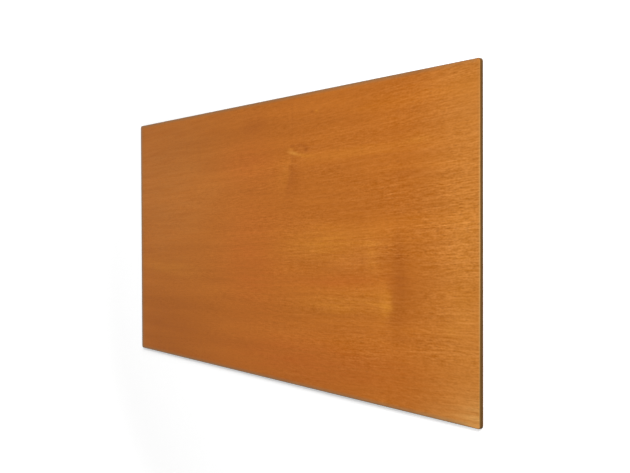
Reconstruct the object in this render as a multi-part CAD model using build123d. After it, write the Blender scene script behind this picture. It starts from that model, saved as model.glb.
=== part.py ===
from build123d import *
import os

# A plywood sheet that lies flat on its back, its face grain along X and its show face up.
# The origin is the middle of the back face, on the surface that the sheet lies on.

# Sizes in millimetres
SHEET_LENGTH = 610.0
SHEET_WIDTH = 305.0
SHEET_THICKNESS = 3.2
CORNER_RADIUS = 3.0
SHOW_ARRIS_RADIUS = 0.4
BACK_ARRIS_RADIUS = 0.3


def cut_panel():
    """The pressed panel as it leaves the saw, with its four corners rounded over."""
    outline = RectangleRounded(SHEET_LENGTH, SHEET_WIDTH, CORNER_RADIUS)
    return extrude(outline, amount=SHEET_THICKNESS)


def ease_arrises(panel):
    """Sands the sharp edges round both faces, the show face a little more than the back."""
    show_rim = panel.faces().sort_by(Axis.Z)[-1].edges()
    panel = fillet(show_rim, SHOW_ARRIS_RADIUS)
    back_rim = panel.faces().sort_by(Axis.Z)[0].edges()
    return fillet(back_rim, BACK_ARRIS_RADIUS)


plywood_sheet = ease_arrises(cut_panel())

os.makedirs("parts", exist_ok=True)
export_step(plywood_sheet, "parts/plywood_sheet.step")
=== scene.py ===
import math

import bmesh
import bpy
from mathutils import Matrix, Vector


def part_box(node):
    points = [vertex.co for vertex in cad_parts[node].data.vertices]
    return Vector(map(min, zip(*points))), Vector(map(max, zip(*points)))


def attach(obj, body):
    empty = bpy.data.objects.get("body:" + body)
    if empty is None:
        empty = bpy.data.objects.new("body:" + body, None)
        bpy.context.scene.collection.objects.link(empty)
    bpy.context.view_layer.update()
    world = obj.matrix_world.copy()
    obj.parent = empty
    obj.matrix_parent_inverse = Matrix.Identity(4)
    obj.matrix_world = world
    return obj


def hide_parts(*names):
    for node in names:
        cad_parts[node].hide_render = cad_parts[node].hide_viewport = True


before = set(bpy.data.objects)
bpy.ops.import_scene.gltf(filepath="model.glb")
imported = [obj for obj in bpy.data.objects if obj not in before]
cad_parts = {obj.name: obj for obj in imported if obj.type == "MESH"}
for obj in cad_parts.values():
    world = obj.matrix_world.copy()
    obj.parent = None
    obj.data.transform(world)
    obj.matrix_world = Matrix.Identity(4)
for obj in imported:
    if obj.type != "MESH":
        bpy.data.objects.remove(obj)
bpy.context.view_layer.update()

# A sheet of stained and varnished plywood, lying flat with its show face up and its face grain along X.
# Lengths are metres. Names that end in _MM, and the lists of streaks, marks and places on the veneer, are
# in millimetres, with x and y from the middle of the sheet.

MM = 0.001
TOUCH = 0.001 * MM

# The sheet, as cut
SHEET_LOW, SHEET_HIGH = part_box("plywood_sheet")
LENGTH = SHEET_HIGH.x - SHEET_LOW.x
WIDTH = SHEET_HIGH.y - SHEET_LOW.y
THICKNESS = SHEET_HIGH.z - SHEET_LOW.z
HALF_LENGTH_MM = LENGTH / MM / 2
HALF_WIDTH_MM = WIDTH / MM / 2
HALF_THICKNESS_MM = THICKNESS / MM / 2
CORNER_RADIUS = 3.0 * MM
SHOW_ARRIS_RADIUS = 0.4 * MM
BACK_ARRIS_RADIUS = 0.3 * MM
CORNER_STEPS = 8
SHOW_ARRIS_STEPS = 4
BACK_ARRIS_STEPS = 3

# The mesh of its two faces: cells along and across the grain, and a plain strip inside the arris
CELLS_ALONG = 112
CELLS_ACROSS = 330
RIM_STRIP = 1.0 * MM

# The three plies: face veneers over a thicker core, with a fine groove at each glue line
FACE_PLY = 0.8 * MM
GLUE_GROOVE_HALF_WIDTH = 0.07 * MM
GLUE_GROOVE_DEPTH = 0.06 * MM
GLUE_FROM_MIDDLE_MM = HALF_THICKNESS_MM - FACE_PLY / MM

# A face belongs to the walls while its normal rises less than this
WALL_SLOPE = 0.3
# Two faces shade as one while the angle between them is under this
SMOOTH_UNDER = math.radians(30)

# What edit mode calls each kind of mesh part
SELECT_MODES = {"verts": "VERT", "edges": "EDGE", "faces": "FACE"}

# The camera looks down on the sheet from beyond its right end
CAMERA_PLACE = Vector((0.7725, 0.0167, 0.5394))
CAMERA_AIM = Vector((0.0847, 0.0042, THICKNESS))
CAMERA_ROLL = math.radians(-0.197)
CAMERA_LENS_MM = 48.82
CAMERA_SENSOR_MM = 36.0
CAMERA_NEAREST = 0.01

# Even light from all round, and a softbox beyond the right end on the rear side
WHITE = (1.0, 1.0, 1.0, 1.0)
ROOM_LIGHT = 0.45
SOFTBOX_PLACE = Vector((1.75, 1.80, 1.45))
SOFTBOX_AIM = Vector((0.10, 0.0, 0.0))
SOFTBOX_SIZE = (1.8, 1.25)
SOFTBOX_WATTS = 94.0

# The floor: round, and swept up at its rim
FLOOR_RADIUS = 4.0
FLOOR_SIDES = 96
SWEEP_WIDTH = 4.0
SWEEP_HEIGHT = 3.0
SWEEP_STEPS = 12
FLOOR_GREY = 0.85

# It glows least round a place under the sheet, and more from there outwards
GLOW_BY_SHEET = 0.27
GLOW_FAR_OFF = 0.6
GLOW_LEAST_AT = Vector((-0.12, -0.06, 0.0))
GLOW_FROM = 0.26
GLOW_FULL_AT = 0.56


def stain(red, green, blue):
    """A colour as the eye reads it, 0 to 255, turned by the sRGB curve into the light that a shader takes."""
    def light(level):
        share = level / 255
        return share / 12.92 if share <= 0.04045 else ((share + 0.055) / 1.055) ** 2.4
    return (light(red), light(green), light(blue), 1.0)


# Node helpers, for the veneer's colours and for its relief alike

def set_or_link(tree, socket, value):
    """Gives a socket another node's output, or a plain value."""
    if isinstance(value, bpy.types.NodeSocket):
        tree.links.new(value, socket)
    else:
        socket.default_value = value


def maths(tree, operation, first, second=0.0, third=0.0):
    step = tree.nodes.new("ShaderNodeMath")
    step.operation = operation
    for socket, value in zip(step.inputs, (first, second, third)):
        set_or_link(tree, socket, value)
    return step.outputs[0]


def vector_maths(tree, operation, first, second=(0.0, 0.0, 0.0), third=(0.0, 0.0, 0.0)):
    """The same for places, directions and colours. Lengths and products come out as a number."""
    step = tree.nodes.new("ShaderNodeVectorMath")
    step.operation = operation
    for socket, value in zip(step.inputs, (first, second, third)):
        set_or_link(tree, socket, value)
    return step.outputs["Value" if operation in ("LENGTH", "DISTANCE", "DOT_PRODUCT") else "Vector"]


def scale_by(tree, vector, amount):
    step = tree.nodes.new("ShaderNodeVectorMath")
    step.operation = "SCALE"
    tree.links.new(vector, step.inputs[0])
    set_or_link(tree, step.inputs["Scale"], amount)
    return step.outputs["Vector"]


def place_at(tree, x, y, z=0.0):
    step = tree.nodes.new("ShaderNodeCombineXYZ")
    for socket, value in zip(step.inputs, (x, y, z)):
        set_or_link(tree, socket, value)
    return step.outputs["Vector"]


def add_up(tree, *values):
    total = values[0]
    for value in values[1:]:
        total = maths(tree, "ADD", total, value)
    return total


def ease(tree, value, low, high, to_low=0.0, to_high=1.0):
    """Eases from one level to another while the value goes from low to high."""
    step = tree.nodes.new("ShaderNodeMapRange")
    step.interpolation_type = "SMOOTHSTEP"
    set_or_link(tree, step.inputs["Value"], value)
    step.inputs["From Min"].default_value = low
    step.inputs["From Max"].default_value = high
    step.inputs["To Min"].default_value = to_low
    step.inputs["To Max"].default_value = to_high
    return step.outputs["Result"]


def mix_levels(tree, share, first, second, kind="FLOAT"):
    """Goes from the first level to the second as the share goes from 0 to 1."""
    step = tree.nodes.new("ShaderNodeMix")
    step.data_type = kind
    set_or_link(tree, step.inputs["Factor"], share)
    set_or_link(tree, step.inputs["A"], first)
    set_or_link(tree, step.inputs["B"], second)
    return step.outputs["Result"]


def mix_stain(tree, share, first, second):
    """The same for colours."""
    return mix_levels(tree, share, first, second, "RGBA")


def streaks(tree, along, across, length_mm, width_mm, layer, detail=2.0):
    """Uneven streaks of about that length and width, from 0 to 1 and 0.5 on average.

    Each layer has its own pattern.
    """
    lengths_along = maths(tree, "DIVIDE", along, length_mm)
    widths_across = maths(tree, "DIVIDE", across, width_mm)
    noise = tree.nodes.new("ShaderNodeTexNoise")
    noise.noise_dimensions = "3D"
    noise.inputs["Scale"].default_value = 1.0
    noise.inputs["Detail"].default_value = detail
    tree.links.new(place_at(tree, lengths_along, widths_across, layer), noise.inputs["Vector"])
    return noise.outputs[0]


def spread_from_middle(tree, field, amount):
    """Turns a field about 0.5 into one about zero, of the given strength."""
    return maths(tree, "MULTIPLY", maths(tree, "SUBTRACT", field, 0.5), amount)


def spot(tree, flat, x_mm, y_mm, reach_along_mm, reach_across_mm, turn_deg=0.0):
    """A soft oval mark, 1 at its middle. It is turned anticlockwise, as seen from above the show face."""
    off = vector_maths(tree, "SUBTRACT", flat, (x_mm, y_mm, 0.0))
    if turn_deg:
        turned = tree.nodes.new("ShaderNodeVectorRotate")
        turned.rotation_type = "Z_AXIS"
        turned.inputs["Angle"].default_value = -math.radians(turn_deg)
        tree.links.new(off, turned.inputs["Vector"])
        off = turned.outputs["Vector"]
    off = vector_maths(tree, "DIVIDE", off, (reach_along_mm, reach_across_mm, 1.0))
    return maths(tree, "POWER", 1 / math.e, vector_maths(tree, "DOT_PRODUCT", off, off))


def millimetres(tree, place):
    """A place in millimetres: along the grain and across it from the sheet's middle, and its height."""
    split = tree.nodes.new("ShaderNodeSeparateXYZ")
    tree.links.new(scale_by(tree, place, 1 / MM), split.inputs[0])
    return split.outputs["X"], split.outputs["Y"], split.outputs["Z"]


# Streaks are listed as their length and width, the layer of their pattern, and its detail where that isn't 2.
# Fades are listed as where they start and end, then their level at the start and at the end. Without levels
# they go from 0 to 1.

# The run of the grain leans a little to the sheet's length, wanders slowly, and wavers from fibre to fibre.
# Each veneer has its own layer of it. The long threads lean further, by so much to the grain.
SHOW_LAYER = 1.0
BACK_LAYER = 2.0
GRAIN_LEAN = math.tan(math.radians(1.5))
THREAD_LEAN = math.tan(math.radians(2.7))
WANDER_LENGTH_MM = 260.0
WANDER_WIDTH_MM = 70.0
WANDER_MM = 6.0
WAVER_LENGTH_MM = 45.0
WAVER_WIDTH_MM = 16.0
WAVER_LAYERS_UP = 5.0
WAVER_MM = 2.0

# Pin knots that the grain goes round: x, y, reach along, reach across, and how far they push the grain aside
PIN_KNOTS_MM = (
    (50.0, 93.0, 26.0, 11.0, 3.0),
    (204.0, -45.0, 34.0, 20.0, 7.0),
)

# Relief pressed and sanded into the faces: broad and fine streaks, and a dimple at each pin knot, whose
# reach is so many times the dimple's. It starts inside the outline and is full further in.
RELIEF_DEPTH = 0.05 * MM
RELIEF_STARTS_MM = 1.0
RELIEF_FULL_MM = 6.0
BROAD_LENGTH_MM = 150.0
BROAD_WIDTH_MM = 9.0
BROAD_LAYERS_UP = 40.0
BROAD_SHARE = 0.6
FINE_LENGTH_MM = 40.0
FINE_WIDTH_MM = 2.6
FINE_LAYERS_UP = 41.0
FINE_SHARE = 0.4
DIMPLE_SHARE = 0.5
KNOT_TO_DIMPLE = 3

# Streaks of the show veneer, the coarse ones first
BANDS = (300.0, 22.0, 11.0)
PATCHES = (90.0, 30.0, 17.0)
MOTTLE = (55.0, 9.0, 14.0)
STREAKS = (70.0, 3.5, 12.0)
LIGHT_THREADS = (110.0, 1.5, 16.0, 0.0)
DARK_THREADS = (90.0, 1.4, 18.0, 0.0)
FIBRES = (9.5, 1.7, 13.0, 0.0)
FLECKS = (2.8, 1.4, 20.0, 0.0)
PORES = (7.0, 0.45, 15.0, 1.0)
SILK = (12.0, 0.28, 19.0)

# Its tone, from dull to bright: along it (partly painted light, brighter to the right), off its middle line,
# and by the bands.
# Mottle and streaks grow stronger along it, from the left end to past the middle.
TONE_AND_PAINTED_LIGHT_ALONG = (-HALF_LENGTH_MM, HALF_LENGTH_MM, 0.42, 0.58)
TONE_TO_EDGES = (30.0, HALF_WIDTH_MM, -0.01, -0.045)
BAND_STRENGTH = 0.5
STREAKY_ALONG = (-HALF_LENGTH_MM, 40.0, 0.09, 0.2)

# Marks in the show veneer: x, y, reach along, reach across, turn in degrees, strength
GOLDEN_MARKS = (
    (48.0, 91.7, 8.5, 2.1, -12.0, 0.65),
    (60.0, 89.2, 7.0, 1.6, -4.0, 0.25),
    (43.5, 96.0, 4.5, 1.6, 0.0, 0.40),
    (70.0, 87.5, 14.0, 2.2, -6.0, 0.25),
    (88.0, 132.0, 2.6, 1.3, 0.0, 0.45),
    (150.0, 86.0, 60.0, 4.0, 2.0, 0.18),
    # Painted sheen: the next two are the bright golden core where the fibres tip over
    (191.0, -60.5, 7.0, 9.5, -8.0, 0.36),
    (180.0, -60.0, 18.0, 12.0, 0.0, 0.12),
    (100.0, -3.0, 80.0, 15.0, 4.0, 0.32),
    (172.0, -12.0, 9.0, 17.0, 8.0, 0.20),
    (130.0, -62.0, 65.0, 10.0, 3.0, 0.28),
    (-235.0, -38.0, 70.0, 9.0, -3.0, 0.20),
    (287.0, 0.0, 18.0, 34.0, 0.0, 0.12),
    (285.0, -58.0, 14.0, 15.0, 0.0, 0.12),
    (233.0, 92.0, 18.0, 3.5, 5.0, 0.20),
    (273.0, -75.0, 7.0, 4.0, 0.0, 0.20),
)
DARK_MARKS = (
    (70.0, 94.0, 3.2, 2.6, 0.0, 0.45),
    (64.0, 98.0, 12.0, 1.8, -8.0, 0.28),
    (46.0, 99.0, 3.5, 1.7, 0.0, 0.35),
    (80.5, 131.8, 2.6, 1.3, 0.0, 0.45),
    (46.5, 126.0, 1.6, 20.0, 0.0, 0.12),
    (208.0, -6.0, 8.0, 18.0, 0.0, 0.18),
    (210.0, -38.0, 11.0, 11.0, 0.0, 0.26),
    (210.0, -22.0, 11.0, 14.0, 0.0, 0.16),
    (226.0, -48.0, 18.0, 16.0, 0.0, 0.14),
    (245.0, -42.0, 20.0, 8.0, 0.0, 0.15),
    (206.0, -76.0, 11.0, 18.0, 0.0, 0.14),
    (-25.0, 127.0, 26.0, 12.0, 0.0, 0.22),
    (243.0, 48.0, 18.0, 11.0, 0.0, 0.12),
    (217.0, 62.5, 20.0, 5.0, 4.0, 0.12),
    # Painted shade: the next two darken the front left part and a band along the front edge, there partly a
    # dark line in the veneer
    (-220.0, -115.0, 110.0, 45.0, 0.0, 0.25),
    (-100.0, -151.0, 230.0, 9.0, 0.0, 0.25),
    (70.0, -138.0, 130.0, 24.0, 0.0, 0.10),
)
RED_MARKS = (
    (-35.0, -22.0, 60.0, 60.0, 0.0, 0.35),
    (120.0, -40.0, 65.0, 6.0, 4.0, 0.35),
    (-40.0, 85.0, 55.0, 22.0, 0.0, 0.30),
    (60.0, -125.0, 150.0, 26.0, 2.0, 0.40),
)
PALE_MARKS = (
    (306.0, -152.0, 32.0, 22.0, 30.0, 0.58),
    (48.0, 91.7, 8.5, 2.1, -12.0, 0.12),
    (-230.0, 70.0, 150.0, 100.0, 0.0, 0.10),
    (254.0, -149.0, 26.0, 9.0, 0.0, 0.12),
)

# The marks are stronger in some streaks than in others
MARKS_BY_STREAK = (0.3, 0.7, 0.6, 1.4)

# Painted sheen where the fibres tip over: a golden highlight up to a line across the grain and painted shade
# past it:
# x, y, lean and bow of the line, reach along, reach across, golden strength, dark strength
SHEEN_STEPS_MM = (
    (199.0, -54.0, 0.0, 0.02, 22.0, 19.0, 0.22, 0.32),
    (39.0, 70.0, 0.3, 0.0, 18.0, 20.0, 0.16, 0.30),
)
SHEEN_STEP_SOFTNESS_MM = 5.0
SHEEN_STEP_UNEVEN_MM = 14.0

# Long single fibres, listed as the marks are: the strength is their step of light, and under zero it is dark
LONG_FIBRES = (
    (241.0, 61.0, 26.0, 1.2, 7.0, 0.12),
    (285.0, 65.2, 17.0, 1.7, 3.0, 0.12),
    (243.0, 82.4, 13.0, 1.3, 11.0, 0.13),
    (203.0, 52.0, 10.0, 1.2, 3.0, 0.10),
    (292.0, 81.0, 8.0, 1.5, 18.0, 0.10),
    (245.0, -71.0, 16.0, 1.2, -9.0, 0.10),
    (238.0, -76.5, 13.0, 1.1, -9.0, 0.09),
    (294.0, -65.4, 12.0, 1.2, 5.0, 0.14),
    (248.0, -21.3, 16.0, 1.0, -2.0, -0.14),
    (262.0, -80.5, 26.0, 1.1, 2.0, -0.11),
)

# Light and dark places between the bands, listed as the long fibres are
LIGHT_PLACES = (
    (150.0, -17.0, 42.0, 9.0, 12.0, 0.12),
    (274.0, -4.0, 16.0, 12.0, 20.0, 0.11),
    (294.0, -43.0, 14.0, 9.0, 0.0, -0.13),
    (303.0, -134.0, 10.0, 12.0, 0.0, -0.10),
    (292.0, 136.0, 18.0, 9.0, 0.0, -0.11),
    (130.0, -104.0, 28.0, 8.0, -4.0, -0.10),
    (180.0, 127.0, 26.0, 6.0, 4.0, -0.11),
)

# Places where the fibres show more, listed as the marks are: under zero they show less
OPEN_PLACES = (
    (216.0, -46.0, 22.0, 24.0, 0.0, -0.55),
    (235.0, 60.0, 30.0, 28.0, 0.0, -0.28),
    (284.0, -125.0, 22.0, 28.0, 0.0, -0.28),
    (240.0, 2.0, 40.0, 24.0, 0.0, 0.34),
    (165.0, -110.0, 45.0, 38.0, 0.0, 0.25),
    (30.0, 62.0, 40.0, 28.0, 0.0, 0.20),
)

# How open the grain is, so how much its fibres show: along the sheet, near its right end, off its middle
# line, and from patch to patch. The finest grain shows at least so much everywhere.
OPEN_ALONG = (-HALF_LENGTH_MM, 200.0, 0.40, 0.84)
OPEN_BY_RIGHT_END = (150.0, 290.0, 0.0, 0.42)
OPEN_TO_EDGES = (40.0, HALF_WIDTH_MM, 1.15, 0.76)
OPEN_BY_PATCH = (0.35, 0.65, 0.7, 1.2)
FINE_GRAIN_LEAST = 0.8

# How much threads, fibres, flecks, silky grain and pores stand out. Threads and pores are only the
# strongest part of their streaks, and a dark thread counts half as much as a light one.
LIGHT_THREADS_FROM = (0.54, 0.72)
DARK_THREADS_FROM = (0.56, 0.72)
DARK_THREAD_STEP = -0.5
THREADS_ALONG = (-HALF_LENGTH_MM, 250.0, 0.04, 0.105)
FIBRE_STRENGTH = 0.40
FLECK_STRENGTH = 0.30
SILK_STRENGTH = 0.16
PORES_FROM = (0.58, 0.72)
PORE_STRENGTH = 0.3

# The show veneer pales towards its right end, and a highlight is painted along the arris there, though less
# at the rear
PALE_TO_END = (-10.0, 100.0, 0.27, 0.0)
ARRIS_HIGHLIGHT_BY_END = (0.8, 2.6, 0.5, 0.0)
ARRIS_HIGHLIGHT_ACROSS = (20.0, 150.0, 1.0, 0.25)

# Painted shade: a greyer border where the arris turns from the light. Close to the right end it thins out,
# over a longer way on the front side, and on the rear side it only regains its strength further off. At the
# left end it is wider.
BORDER_SHADE_BY_RIM = (0.0, 5.0, 0.58, 0.0)
CORNER_ACROSS = (-150.0, 0.0, 1.0, 5.0)
BORDER_SHADE_OFF_CORNER = (1.5, 25.0)
FRONT_SIDE = (-100.0, 0.0, 1.0, 0.0)
BORDER_SHADE_OFF_RIGHT_END = (0.0, 110.0, 0.4, 1.0)
BORDER_SHADE_BY_LEFT_END = (1.0, 10.0, 0.45, 0.0)

# The dark stain of the edges laps over the arris, and at the right end further over towards the front
LAP_ACROSS = (-HALF_WIDTH_MM, 20.0, 0.8, -0.1)
LAP_BY_RIM = (0.35, 0.65, 0.85, 0.0)

# The show veneer's surface: satin varnish that fibres and pores show through.
# Bumps are listed as their strength and depth.
SHOW_ROUGHNESS = 0.55
FIBRE_ROUGHNESS = 0.15
PORE_ROUGHNESS = 0.1
VARNISH_SHINE = 0.14
FIBRE_TO_PORE_HEIGHT = 0.4
SHOW_BUMP = (0.3, 0.03 * MM)

# Streaks, tone and surface of the back veneer
BACK_BANDS = (380.0, 36.0, 21.0, 3.0)
BACK_STREAKS = (90.0, 4.5, 22.0)
BACK_PORES = (11.0, 0.6, 23.0, 1.0)
BACK_TONE = 0.5
BACK_BAND_STRENGTH = 0.8
BACK_STREAK_STRENGTH = 0.5
BACK_PORES_FROM = (0.55, 0.72)
BACK_PORE_STRENGTH = 0.45
BACK_ROUGHNESS = 0.58
BACK_PORE_ROUGHNESS = 0.15
BACK_BUMP = (0.5, 0.04 * MM)

# Streaks, glue and surface of the sawn edges, where end grain is darker than long grain
EDGE_LONG_GRAIN = (14.0, 0.22, 31.0)
EDGE_END_GRAIN = (0.5, 0.35, 32.0)
END_GRAIN_DARKER = 0.18
PLY_BLEND_MM = 0.05
GLUE_BY_DISTANCE = (0.03, 0.08, 0.8, 0.0)
EDGE_ROUGHNESS = 0.7
EDGE_SHINE = 0.15
EDGE_BUMP = (0.6, 0.05 * MM)

# Colours as the eye reads them
VENEER_DULL = stain(154, 82, 12)
VENEER_MIDDLE = stain(184, 104, 29)
VENEER_BRIGHT = stain(211, 126, 40)
GOLDEN_FIGURE = stain(214, 138, 44)
DARK_FIGURE = stain(146, 70, 10)
RED_FIGURE = stain(192, 98, 32)
PALE_FIGURE = stain(218, 164, 94)
PORE_BROWN = stain(118, 60, 10)
# Painted shade of the border, where the arris turns from the light
BORDER_SHADE = stain(126, 112, 82)
PALER_END_COLOUR = stain(213, 153, 74)
# Painted highlight along the right end's arris
ARRIS_HIGHLIGHT = stain(220, 172, 106)
EDGE_STAIN = stain(88, 58, 16)
BACK_DULL = stain(146, 84, 36)
BACK_BRIGHT = stain(196, 136, 76)
BACK_PORE_BROWN = stain(104, 62, 30)
EDGE_DARK = stain(60, 38, 8)
EDGE_LIGHT = stain(122, 82, 24)
GLUE_BROWN = stain(40, 24, 8)

# What a full step of light adds to the wood's red, green and blue: to the eye about the same in each
FIBRE_LIGHT = (0.35, 0.175, 0.061)


def grain_run(tree, along, across, knots, layer):
    """How far across the veneer a grain line started: lines lean, wander, waver, and pass round knots."""
    line = maths(tree, "SUBTRACT", across, maths(tree, "MULTIPLY", along, GRAIN_LEAN))
    wander = streaks(tree, along, across, WANDER_LENGTH_MM, WANDER_WIDTH_MM, layer)
    waver = streaks(tree, along, across, WAVER_LENGTH_MM, WAVER_WIDTH_MM, layer + WAVER_LAYERS_UP)
    line = maths(tree, "ADD", line, spread_from_middle(tree, wander, WANDER_MM))
    line = maths(tree, "ADD", line, spread_from_middle(tree, waver, WAVER_MM))
    for x_mm, y_mm, reach_along_mm, reach_across_mm, push_mm in knots:
        round_knot = spot(tree, place_at(tree, along, across), x_mm, y_mm, reach_along_mm, reach_across_mm)
        side = maths(tree, "DIVIDE", maths(tree, "SUBTRACT", across, y_mm), reach_across_mm)
        push = maths(tree, "MULTIPLY", maths(tree, "MULTIPLY", round_knot, side), push_mm)
        line = maths(tree, "SUBTRACT", line, push)
    return line


def from_right_end(tree, along):
    return maths(tree, "SUBTRACT", HALF_LENGTH_MM, along)


def from_rim(tree, along, across):
    """How far a place lies inside the outline of the sheet, rounded corners included, in millimetres."""
    corner_mm = CORNER_RADIUS / MM
    past_end = maths(tree, "SUBTRACT", maths(tree, "ABSOLUTE", along), HALF_LENGTH_MM - corner_mm)
    past_edge = maths(tree, "SUBTRACT", maths(tree, "ABSOLUTE", across), HALF_WIDTH_MM - corner_mm)
    in_corner = place_at(tree, maths(tree, "MAXIMUM", past_end, 0.0), maths(tree, "MAXIMUM", past_edge, 0.0))
    outside = vector_maths(tree, "LENGTH", in_corner)
    inside = maths(tree, "MINIMUM", maths(tree, "MAXIMUM", past_end, past_edge), 0.0)
    return maths(tree, "SUBTRACT", corner_mm, maths(tree, "ADD", outside, inside))


# The finishes

def new_material(name):
    material = bpy.data.materials.new(name)
    material.use_nodes = True
    tree = material.node_tree
    shader = tree.nodes["Principled BSDF"]
    place = tree.nodes.new("ShaderNodeTexCoord").outputs["Object"]
    return material, tree, shader, place


def bump_surface(tree, shader, height, strength, depth):
    """Lets fine grain catch the light without any change of shape."""
    bump = tree.nodes.new("ShaderNodeBump")
    bump.inputs["Strength"].default_value = strength
    bump.inputs["Distance"].default_value = depth
    tree.links.new(height, bump.inputs["Height"])
    tree.links.new(bump.outputs["Normal"], shader.inputs["Normal"])


def marks(tree, along, across, places):
    """All marks of one kind together, each of its own strength."""
    flat = place_at(tree, along, across)
    total = 0.0
    for *place_mm, strength in places:
        total = maths(tree, "MULTIPLY_ADD", spot(tree, flat, *place_mm), strength, total)
    return total


def painted_sheen_steps(tree, along, across, uneven):
    """The golden and the dark share of the painted sheen where fibres tip over, each fibre a little sooner or
    later.
    """
    golden_shares = []
    dark_shares = []
    for x_mm, y_mm, lean, bow, reach_along_mm, reach_across_mm, golden, dark in SHEEN_STEPS_MM:
        patch = spot(tree, place_at(tree, along, across), x_mm, y_mm, reach_along_mm, reach_across_mm)
        aside = maths(tree, "SUBTRACT", across, y_mm)
        slope = maths(tree, "SUBTRACT", lean, maths(tree, "MULTIPLY", aside, bow))
        line_x = maths(tree, "MULTIPLY", aside, slope)
        past = maths(tree, "SUBTRACT", maths(tree, "SUBTRACT", along, x_mm), line_x)
        past = ease(tree, maths(tree, "ADD", past, uneven), -SHEEN_STEP_SOFTNESS_MM, SHEEN_STEP_SOFTNESS_MM)
        before = maths(tree, "SUBTRACT", 1.0, past)
        golden_shares.append(maths(tree, "MULTIPLY", maths(tree, "MULTIPLY", patch, before), golden))
        dark_shares.append(maths(tree, "MULTIPLY", maths(tree, "MULTIPLY", patch, past), dark))
    return add_up(tree, *golden_shares), add_up(tree, *dark_shares)


def plain_wood(tree, along, across, line, mottle, streak):
    """The stained wood before any figure: bands, mottle and streaks from dull to bright, and painted light
    brightening it along the sheet.
    """
    bands = streaks(tree, along, line, *BANDS)
    streaky = ease(tree, along, *STREAKY_ALONG)
    tone = add_up(
        tree,
        # Partly painted light: the tone brightens towards the right end
        ease(tree, along, *TONE_AND_PAINTED_LIGHT_ALONG),
        ease(tree, maths(tree, "ABSOLUTE", across), *TONE_TO_EDGES),
        spread_from_middle(tree, bands, BAND_STRENGTH),
        spread_from_middle(tree, mottle, streaky),
        spread_from_middle(tree, streak, streaky),
    )
    ramp = tree.nodes.new("ShaderNodeValToRGB")
    ramp.color_ramp.elements[0].color = VENEER_DULL
    ramp.color_ramp.elements[1].color = VENEER_BRIGHT
    ramp.color_ramp.elements.new(0.5).color = VENEER_MIDDLE
    tree.links.new(tone, ramp.inputs["Fac"])
    return ramp.outputs["Color"]


def add_figure(tree, wood, along, across, mottle, streak):
    """Lays the figure over the wood: the painted sheen of the tipped fibres, then the red, golden, dark and
    pale marks.
    """
    # Painted sheen: golden before the line where the fibres tip over, and dark past it
    golden, dark = painted_sheen_steps(tree, along, across, spread_from_middle(tree, mottle, SHEEN_STEP_UNEVEN_MM))
    wood = mix_stain(tree, golden, wood, GOLDEN_FIGURE)
    wood = mix_stain(tree, dark, wood, DARK_FIGURE)
    uneven = ease(tree, streak, *MARKS_BY_STREAK)
    for places, colour in (
        (RED_MARKS, RED_FIGURE),
        (GOLDEN_MARKS, GOLDEN_FIGURE),
        (DARK_MARKS, DARK_FIGURE),
        (PALE_MARKS, PALE_FIGURE),
    ):
        share = maths(tree, "MULTIPLY", marks(tree, along, across, places), uneven)
        wood = mix_stain(tree, share, wood, colour)
    return wood


def how_open(tree, along, across, line):
    """How much the fibres show at each place."""
    open_grain = add_up(tree, ease(tree, along, *OPEN_ALONG), ease(tree, along, *OPEN_BY_RIGHT_END))
    patches = ease(tree, streaks(tree, along, line, *PATCHES), *OPEN_BY_PATCH)
    to_edges = ease(tree, maths(tree, "ABSOLUTE", across), *OPEN_TO_EDGES)
    open_grain = maths(tree, "MULTIPLY", maths(tree, "MULTIPLY", open_grain, patches), to_edges)
    opener = maths(tree, "ADD", 1.0, marks(tree, along, across, OPEN_PLACES))
    return maths(tree, "MULTIPLY", open_grain, opener)


def steps_of_light(tree, along, across, line, fibre, open_grain, fine_grain):
    """How much lighter or darker than plain wood a place is, by its threads, fibres, flecks and silk."""
    thread_run = maths(tree, "SUBTRACT", line, maths(tree, "MULTIPLY", along, THREAD_LEAN))
    light_threads = ease(tree, streaks(tree, along, thread_run, *LIGHT_THREADS), *LIGHT_THREADS_FROM)
    dark_threads = ease(tree, streaks(tree, along, thread_run, *DARK_THREADS), *DARK_THREADS_FROM)
    threads = maths(tree, "MULTIPLY_ADD", dark_threads, DARK_THREAD_STEP, light_threads)
    flecks = streaks(tree, along, line, *FLECKS)
    steps = add_up(
        tree,
        maths(tree, "MULTIPLY", threads, ease(tree, along, *THREADS_ALONG)),
        spread_from_middle(tree, fibre, FIBRE_STRENGTH),
        spread_from_middle(tree, flecks, FLECK_STRENGTH),
    )
    steps = maths(tree, "MULTIPLY", steps, open_grain)
    silk = spread_from_middle(tree, streaks(tree, along, line, *SILK), SILK_STRENGTH)
    steps = maths(tree, "MULTIPLY_ADD", silk, fine_grain, steps)
    return maths(tree, "ADD", steps, marks(tree, along, across, LONG_FIBRES + LIGHT_PLACES))


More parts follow.
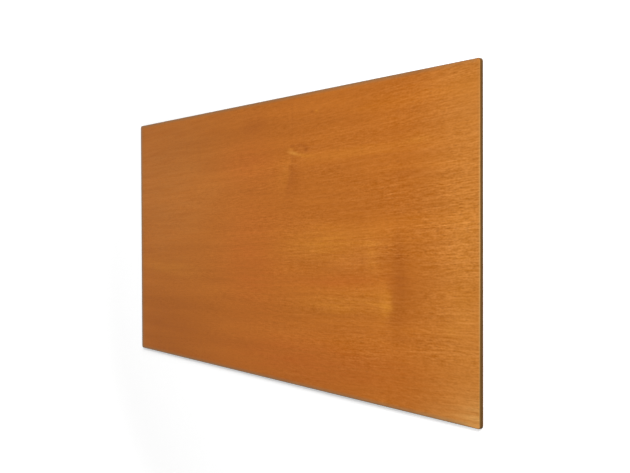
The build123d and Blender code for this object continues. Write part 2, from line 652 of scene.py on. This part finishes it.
def finish_rim(tree, wood, along, across):
    """Paints a highlight on the right end's arris and shade along the borders, and laps the dark stain of the
    edges over the rim.
    """
    rim = from_rim(tree, along, across)
    from_end = from_right_end(tree, along)
    # Painted highlight: a pale line along the right end's arris, less towards the rear
    arris_highlight = maths(tree, "MULTIPLY", ease(tree, from_end, *ARRIS_HIGHLIGHT_BY_END), ease(tree, across, *ARRIS_HIGHLIGHT_ACROSS))
    wood = mix_stain(tree, arris_highlight, wood, ARRIS_HIGHLIGHT)

    # Painted shade along the borders, where the arrises turn from the light
    off_corner = maths(tree, "MULTIPLY", from_end, ease(tree, across, *CORNER_ACROSS))
    off_corner = ease(tree, off_corner, *BORDER_SHADE_OFF_CORNER)
    off_end = ease(tree, from_end, *BORDER_SHADE_OFF_RIGHT_END)
    off_end = maths(tree, "MAXIMUM", ease(tree, across, *FRONT_SIDE), off_end)
    shaded_border = maths(tree, "MULTIPLY", ease(tree, rim, *BORDER_SHADE_BY_RIM), off_corner)
    wood = mix_stain(tree, maths(tree, "MULTIPLY", shaded_border, off_end), wood, BORDER_SHADE)
    from_left_end = maths(tree, "ADD", HALF_LENGTH_MM, along)
    wood = mix_stain(tree, ease(tree, from_left_end, *BORDER_SHADE_BY_LEFT_END), wood, BORDER_SHADE)

    past_lap = maths(tree, "SUBTRACT", from_end, ease(tree, across, *LAP_ACROSS))
    lapped = ease(tree, maths(tree, "MINIMUM", rim, past_lap), *LAP_BY_RIM)
    return mix_stain(tree, lapped, wood, EDGE_STAIN)


def show_veneer():
    """Orange-brown stained veneer under satin varnish: bands, marks, fibres, fine pores, painted sheen and
    light, and a rim with a painted highlight and painted shade.
    """
    material, tree, shader, place = new_material("show_veneer")
    along, across, _ = millimetres(tree, place)
    line = grain_run(tree, along, across, PIN_KNOTS_MM, SHOW_LAYER)
    mottle = streaks(tree, along, line, *MOTTLE)
    streak = streaks(tree, along, line, *STREAKS)
    fibre = streaks(tree, along, line, *FIBRES)
    pores = ease(tree, streaks(tree, along, line, *PORES), *PORES_FROM)
    open_grain = how_open(tree, along, across, line)
    fine_grain = maths(tree, "MAXIMUM", open_grain, FINE_GRAIN_LEAST)

    # The plain wood holds painted light too, brighter towards the right end
    wood = plain_wood(tree, along, across, line, mottle, streak)
    # The figure holds painted sheen where the fibres tip over
    wood = add_figure(tree, wood, along, across, mottle, streak)
    wood = mix_stain(tree, ease(tree, from_right_end(tree, along), *PALE_TO_END), wood, PALER_END_COLOUR)
    steps = steps_of_light(tree, along, across, line, fibre, open_grain, fine_grain)
    wood = vector_maths(tree, "MULTIPLY_ADD", FIBRE_LIGHT, steps, wood)
    pore_share = maths(tree, "MULTIPLY", maths(tree, "MULTIPLY", pores, fine_grain), PORE_STRENGTH)
    wood = mix_stain(tree, pore_share, wood, PORE_BROWN)
    # Painted highlight on the right end's arris and painted shade along the borders
    wood = finish_rim(tree, wood, along, across)
    tree.links.new(wood, shader.inputs["Base Color"])

    rough = add_up(
        tree,
        SHOW_ROUGHNESS,
        spread_from_middle(tree, fibre, FIBRE_ROUGHNESS),
        maths(tree, "MULTIPLY", pores, PORE_ROUGHNESS),
    )
    tree.links.new(rough, shader.inputs["Roughness"])
    shader.inputs["Specular IOR Level"].default_value = VARNISH_SHINE
    height = maths(tree, "SUBTRACT", maths(tree, "MULTIPLY", fibre, FIBRE_TO_PORE_HEIGHT), pores)
    bump_surface(tree, shader, height, *SHOW_BUMP)
    return material


def back_veneer():
    """The plainer veneer of the back, stained alike but only sealed, so it is duller."""
    material, tree, shader, place = new_material("back_veneer")
    along, across, _ = millimetres(tree, place)
    line = grain_run(tree, along, across, (), BACK_LAYER)
    bands = streaks(tree, along, line, *BACK_BANDS)
    streak = streaks(tree, along, line, *BACK_STREAKS)
    pores = ease(tree, streaks(tree, along, line, *BACK_PORES), *BACK_PORES_FROM)
    tone = add_up(
        tree,
        BACK_TONE,
        spread_from_middle(tree, bands, BACK_BAND_STRENGTH),
        spread_from_middle(tree, streak, BACK_STREAK_STRENGTH),
    )
    wood = mix_stain(tree, tone, BACK_DULL, BACK_BRIGHT)
    wood = mix_stain(tree, maths(tree, "MULTIPLY", pores, BACK_PORE_STRENGTH), wood, BACK_PORE_BROWN)
    tree.links.new(wood, shader.inputs["Base Color"])
    rough = add_up(tree, BACK_ROUGHNESS, maths(tree, "MULTIPLY", pores, BACK_PORE_ROUGHNESS))
    tree.links.new(rough, shader.inputs["Roughness"])
    bump_surface(tree, shader, maths(tree, "MULTIPLY", pores, -1.0), *BACK_BUMP)
    return material


def ply_edge(name, core_is_end_grain):
    """A sawn, dark stained edge. Plies lie crosswise: one kind shows end grain, the other long grain."""
    material, tree, shader, place = new_material(name)
    along, across, height = millimetres(tree, place)
    run = along if core_is_end_grain else across
    from_middle = maths(tree, "ABSOLUTE", maths(tree, "SUBTRACT", height, HALF_THICKNESS_MM))
    core_ends = (GLUE_FROM_MIDDLE_MM - PLY_BLEND_MM, GLUE_FROM_MIDDLE_MM + PLY_BLEND_MM)
    in_core = ease(tree, from_middle, *core_ends, 1.0, 0.0)
    end_share = in_core if core_is_end_grain else maths(tree, "SUBTRACT", 1.0, in_core)
    long_grain = streaks(tree, run, height, *EDGE_LONG_GRAIN)
    end_grain = maths(tree, "SUBTRACT", streaks(tree, run, height, *EDGE_END_GRAIN), END_GRAIN_DARKER)
    tone = mix_levels(tree, end_share, long_grain, end_grain)
    wood = mix_stain(tree, tone, EDGE_DARK, EDGE_LIGHT)
    from_glue = maths(tree, "ABSOLUTE", maths(tree, "SUBTRACT", from_middle, GLUE_FROM_MIDDLE_MM))
    wood = mix_stain(tree, ease(tree, from_glue, *GLUE_BY_DISTANCE), wood, GLUE_BROWN)
    tree.links.new(wood, shader.inputs["Base Color"])
    shader.inputs["Roughness"].default_value = EDGE_ROUGHNESS
    shader.inputs["Specular IOR Level"].default_value = EDGE_SHINE
    bump_surface(tree, shader, tone, *EDGE_BUMP)
    return material


# Modelling the sheet

def pick(piece, kind, wanted):
    """In edit mode, selects only the verts, edges or faces that pass the test."""
    bpy.ops.mesh.select_mode(type=SELECT_MODES[kind])
    bpy.ops.mesh.select_all(action="DESELECT")
    mesh = bmesh.from_edit_mesh(piece.data)
    for part in getattr(mesh, kind):
        if wanted(part):
            part.select_set(True)
    mesh.select_flush_mode()
    bmesh.update_edit_mesh(piece.data)


def near(first, second):
    return abs(first - second) < TOUCH


def middle_of(edge):
    return (edge.verts[0].co + edge.verts[1].co) / 2


def widen_rim(panel, half_length, half_width, done, step):
    """Extrudes the four sides of the flat middle outwards, past what is done, and leaves the corners open."""
    def on_end(point, side):
        return near(point.x * side, half_length + done) and abs(point.y) < half_width + TOUCH

    def on_edge(point, side):
        return near(point.y * side, half_width + done) and abs(point.x) < half_length + TOUCH

    for side in (1, -1):
        pick(panel, "edges", lambda e: e.is_boundary and all(on_end(v.co, side) for v in e.verts))
        bpy.ops.mesh.extrude_region_move(TRANSFORM_OT_translate={"value": (side * step, 0, 0)})
        pick(panel, "edges", lambda e: e.is_boundary and all(on_edge(v.co, side) for v in e.verts))
        bpy.ops.mesh.extrude_region_move(TRANSFORM_OT_translate={"value": (0, side * step, 0)})


def round_corners(panel, half_length, half_width):
    """Fills each open corner with a quarter turn of the rim's side."""
    def beside_corner(edge, pivot):
        middle = middle_of(edge)
        return near(middle.y, pivot.y) and (middle.x - pivot.x) * pivot.x > 0 and edge.is_boundary

    for side_x in (1, -1):
        for side_y in (1, -1):
            pivot = Vector((side_x * half_length, side_y * half_width, 0))
            pick(panel, "edges", lambda e: beside_corner(e, pivot))
            turn = -side_x * side_y * math.pi / 2
            bpy.ops.mesh.spin(steps=CORNER_STEPS, angle=turn, center=pivot, axis=(0, 0, 1))
    bpy.ops.mesh.select_all(action="SELECT")
    bpy.ops.mesh.remove_doubles(threshold=TOUCH)


def flat_panel():
    """The panel as it leaves the saw: a flat middle in long narrow cells, round corners, square arrises."""
    half_length = LENGTH / 2 - CORNER_RADIUS
    half_width = WIDTH / 2 - CORNER_RADIUS
    inner_step = CORNER_RADIUS - RIM_STRIP
    bpy.ops.object.select_all(action="DESELECT")
    bpy.ops.mesh.primitive_grid_add(x_subdivisions=CELLS_ALONG, y_subdivisions=CELLS_ACROSS, size=1.0)
    panel = bpy.context.active_object
    panel.name = "veneered_sheet"
    bpy.ops.object.mode_set(mode="EDIT")
    bpy.ops.transform.resize(value=(2 * half_length, 2 * half_width, 1), center_override=(0, 0, 0))
    widen_rim(panel, half_length, half_width, 0, inner_step)
    widen_rim(panel, half_length, half_width, inner_step, RIM_STRIP)
    round_corners(panel, half_length, half_width)
    bpy.ops.mesh.select_all(action="SELECT")
    bpy.ops.mesh.extrude_region_move(TRANSFORM_OT_translate={"value": (0, 0, THICKNESS)})
    bpy.ops.mesh.select_all(action="SELECT")
    bpy.ops.mesh.normals_make_consistent(inside=False)
    return panel


def is_wall(face):
    return abs(face.normal.z) < WALL_SLOPE


def ease_arris(panel, height, radius, steps):
    """Rounds over the edge between a face and the sawn walls, all the way round."""
    def on_arris(edge):
        return all(near(v.co.z, height) for v in edge.verts) and any(is_wall(f) for f in edge.link_faces)

    pick(panel, "edges", on_arris)
    bpy.ops.mesh.bevel(offset=radius, segments=steps, profile=0.5, affect="EDGES", clamp_overlap=False)


def groove_glue_line(panel, height):
    """Cuts a fine V round the walls where two plies meet."""
    for cut in (height - GLUE_GROOVE_HALF_WIDTH, height, height + GLUE_GROOVE_HALF_WIDTH):
        bpy.ops.mesh.select_all(action="SELECT")
        bpy.ops.mesh.bisect(plane_co=(0, 0, cut), plane_no=(0, 0, 1), threshold=TOUCH)
    pick(panel, "verts", lambda v: near(v.co.z, height))
    bpy.ops.transform.shrink_fatten(value=-GLUE_GROOVE_DEPTH)


def veneer_relief(tree, along, across, knots, layer):
    """How deep the surface lies under the sheet's face, as a share of the relief's depth."""
    line = grain_run(tree, along, across, knots, layer)
    broad = streaks(tree, along, line, BROAD_LENGTH_MM, BROAD_WIDTH_MM, layer + BROAD_LAYERS_UP)
    fine = streaks(tree, along, line, FINE_LENGTH_MM, FINE_WIDTH_MM, layer + FINE_LAYERS_UP)
    broad = maths(tree, "MULTIPLY", broad, BROAD_SHARE)
    fine = maths(tree, "MULTIPLY", fine, FINE_SHARE)
    share = maths(tree, "ADD", broad, fine)
    for x_mm, y_mm, reach_along_mm, reach_across_mm, _ in knots:
        dimple_mm = (x_mm, y_mm, reach_along_mm / KNOT_TO_DIMPLE, reach_across_mm / KNOT_TO_DIMPLE)
        dimple = spot(tree, place_at(tree, along, across), *dimple_mm)
        share = maths(tree, "ADD", share, maths(tree, "MULTIPLY", dimple, DIMPLE_SHARE))
    return share


def press_relief(sheet):
    """Sinks the grain's relief into both faces, and leaves the rim and the walls as they are."""
    tree = bpy.data.node_groups.new("grain_relief", "GeometryNodeTree")
    tree.interface.new_socket("Geometry", in_out="INPUT", socket_type="NodeSocketGeometry")
    tree.interface.new_socket("Geometry", in_out="OUTPUT", socket_type="NodeSocketGeometry")
    start = tree.nodes.new("NodeGroupInput")
    end = tree.nodes.new("NodeGroupOutput")
    along, across, height = millimetres(tree, tree.nodes.new("GeometryNodeInputPosition").outputs[0])
    show = veneer_relief(tree, along, across, PIN_KNOTS_MM, SHOW_LAYER)
    back = veneer_relief(tree, along, across, (), BACK_LAYER)
    on_show = maths(tree, "GREATER_THAN", height, HALF_THICKNESS_MM)
    share = mix_levels(tree, on_show, back, show)
    clear = ease(tree, from_rim(tree, along, across), RELIEF_STARTS_MM, RELIEF_FULL_MM)
    depth = maths(tree, "MULTIPLY", maths(tree, "MULTIPLY", share, clear), -RELIEF_DEPTH)
    sunk = scale_by(tree, tree.nodes.new("GeometryNodeInputNormal").outputs[0], depth)
    moved = tree.nodes.new("GeometryNodeSetPosition")
    tree.links.new(start.outputs[0], moved.inputs["Geometry"])
    tree.links.new(sunk, moved.inputs["Offset"])
    tree.links.new(moved.outputs["Geometry"], end.inputs[0])
    press = sheet.modifiers.new("grain_relief", "NODES")
    press.node_group = tree
    bpy.ops.object.modifier_apply(modifier=press.name)


def finish_faces(sheet):
    """Gives the faces, ends and long edges their finish, each by its place and the way it looks."""
    def between_arrises(face):
        return BACK_ARRIS_RADIUS < face.calc_center_median().z < THICKNESS - SHOW_ARRIS_RADIUS

    def on_edge(face):
        return is_wall(face) or between_arrises(face)

    def looks_along(face):
        return abs(face.normal.x) > abs(face.normal.y)

    finishes = (
        (show_veneer(), lambda face: not on_edge(face) and face.normal.z > 0),
        (back_veneer(), lambda face: not on_edge(face) and face.normal.z < 0),
        (ply_edge("end_edge", False), lambda face: on_edge(face) and looks_along(face)),
        (ply_edge("long_edge", True), lambda face: on_edge(face) and not looks_along(face)),
    )
    bpy.ops.object.mode_set(mode="EDIT")
    for number, (finish, belongs) in enumerate(finishes):
        sheet.data.materials.append(finish)
        pick(sheet, "faces", belongs)
        sheet.active_material_index = number
        bpy.ops.object.material_slot_assign()
    bpy.ops.object.mode_set(mode="OBJECT")


def build_sheet():
    sheet = flat_panel()
    ease_arris(sheet, THICKNESS, SHOW_ARRIS_RADIUS, SHOW_ARRIS_STEPS)
    ease_arris(sheet, 0, BACK_ARRIS_RADIUS, BACK_ARRIS_STEPS)
    groove_glue_line(sheet, FACE_PLY)
    groove_glue_line(sheet, THICKNESS - FACE_PLY)
    bpy.ops.object.mode_set(mode="OBJECT")
    press_relief(sheet)
    finish_faces(sheet)
    bpy.ops.object.shade_smooth_by_angle(angle=SMOOTH_UNDER)
    return sheet


# The studio

def point_at(thing, place, aim, roll=0.0):
    """Sets a camera or lamp at its place, looking at its aim, with the sheet's +Y side up."""
    ahead = (aim - place).normalized()
    right = ahead.cross(Vector((0, 1, 0))).normalized()
    up = right.cross(ahead)
    turn = Matrix((right, up, -ahead)).transposed()
    thing.matrix_world = Matrix.Translation(place) @ turn.to_4x4() @ Matrix.Rotation(roll, 4, "Z")


def set_camera():
    camera = bpy.data.objects.new("camera", bpy.data.cameras.new("camera"))
    bpy.context.scene.collection.objects.link(camera)
    camera.data.lens = CAMERA_LENS_MM
    camera.data.sensor_width = CAMERA_SENSOR_MM
    camera.data.clip_start = CAMERA_NEAREST
    point_at(camera, CAMERA_PLACE, CAMERA_AIM, CAMERA_ROLL)
    bpy.context.scene.camera = camera


def set_lights():
    world = bpy.data.worlds.new("room")
    world.use_nodes = True
    world.node_tree.nodes["Background"].inputs["Color"].default_value = WHITE
    world.node_tree.nodes["Background"].inputs["Strength"].default_value = ROOM_LIGHT
    bpy.context.scene.world = world
    lamp = bpy.data.lights.new("softbox", "AREA")
    lamp.shape = "RECTANGLE"
    lamp.size, lamp.size_y = SOFTBOX_SIZE
    lamp.energy = SOFTBOX_WATTS
    softbox = bpy.data.objects.new("softbox", lamp)
    bpy.context.scene.collection.objects.link(softbox)
    softbox.visible_camera = False
    point_at(softbox, SOFTBOX_PLACE, SOFTBOX_AIM)


def floor_white():
    """White paper. It glows a little where it is seen, so that it is white but keeps the sheet's shadow."""
    material = bpy.data.materials.new("floor_white")
    material.use_nodes = True
    tree = material.node_tree
    tree.nodes.clear()
    paper = tree.nodes.new("ShaderNodeBsdfDiffuse")
    paper.inputs["Color"].default_value = (FLOOR_GREY, FLOOR_GREY, FLOOR_GREY, 1.0)
    path = tree.nodes.new("ShaderNodeLightPath")
    seen = maths(tree, "MAXIMUM", path.outputs["Is Camera Ray"], path.outputs["Is Glossy Ray"])
    seen = maths(tree, "MAXIMUM", seen, path.outputs["Is Transmission Ray"])
    place = tree.nodes.new("ShaderNodeTexCoord").outputs["Object"]
    away = vector_maths(tree, "DISTANCE", place, GLOW_LEAST_AT)
    level = ease(tree, away, GLOW_FROM, GLOW_FULL_AT, GLOW_BY_SHEET, GLOW_FAR_OFF)
    glow = tree.nodes.new("ShaderNodeEmission")
    tree.links.new(maths(tree, "MULTIPLY", seen, level), glow.inputs["Strength"])
    both = tree.nodes.new("ShaderNodeAddShader")
    tree.links.new(paper.outputs[0], both.inputs[0])
    tree.links.new(glow.outputs[0], both.inputs[1])
    surface = tree.nodes.new("ShaderNodeOutputMaterial")
    tree.links.new(both.outputs[0], surface.inputs["Surface"])
    return material


def lay_floor():
    """A round floor that sweeps up all round, so that every view ends on white."""
    bpy.ops.object.select_all(action="DESELECT")
    bpy.ops.mesh.primitive_circle_add(vertices=FLOOR_SIDES, radius=FLOOR_RADIUS, fill_type="NGON")
    floor = bpy.context.active_object
    floor.name = "studio_floor"
    bpy.ops.object.mode_set(mode="EDIT")
    radius = FLOOR_RADIUS
    height = 0.0
    for step in range(1, SWEEP_STEPS + 1):
        angle = step / SWEEP_STEPS * math.pi / 2
        next_radius = FLOOR_RADIUS + SWEEP_WIDTH * math.sin(angle)
        next_height = SWEEP_HEIGHT * (1 - math.cos(angle))
        pick(floor, "edges", lambda e: e.is_boundary)
        bpy.ops.mesh.extrude_edges_move(TRANSFORM_OT_translate={"value": (0, 0, next_height - height)})
        growth = next_radius / radius
        bpy.ops.transform.resize(value=(growth, growth, 1), center_override=(0, 0, 0))
        radius = next_radius
        height = next_height
    bpy.ops.object.mode_set(mode="OBJECT")
    bpy.ops.object.shade_smooth()
    floor.data.materials.append(floor_white())


bpy.context.scene.view_settings.view_transform = "Standard"
set_camera()
set_lights()
lay_floor()

sheet = build_sheet()
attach(sheet, "root")
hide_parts("plywood_sheet")
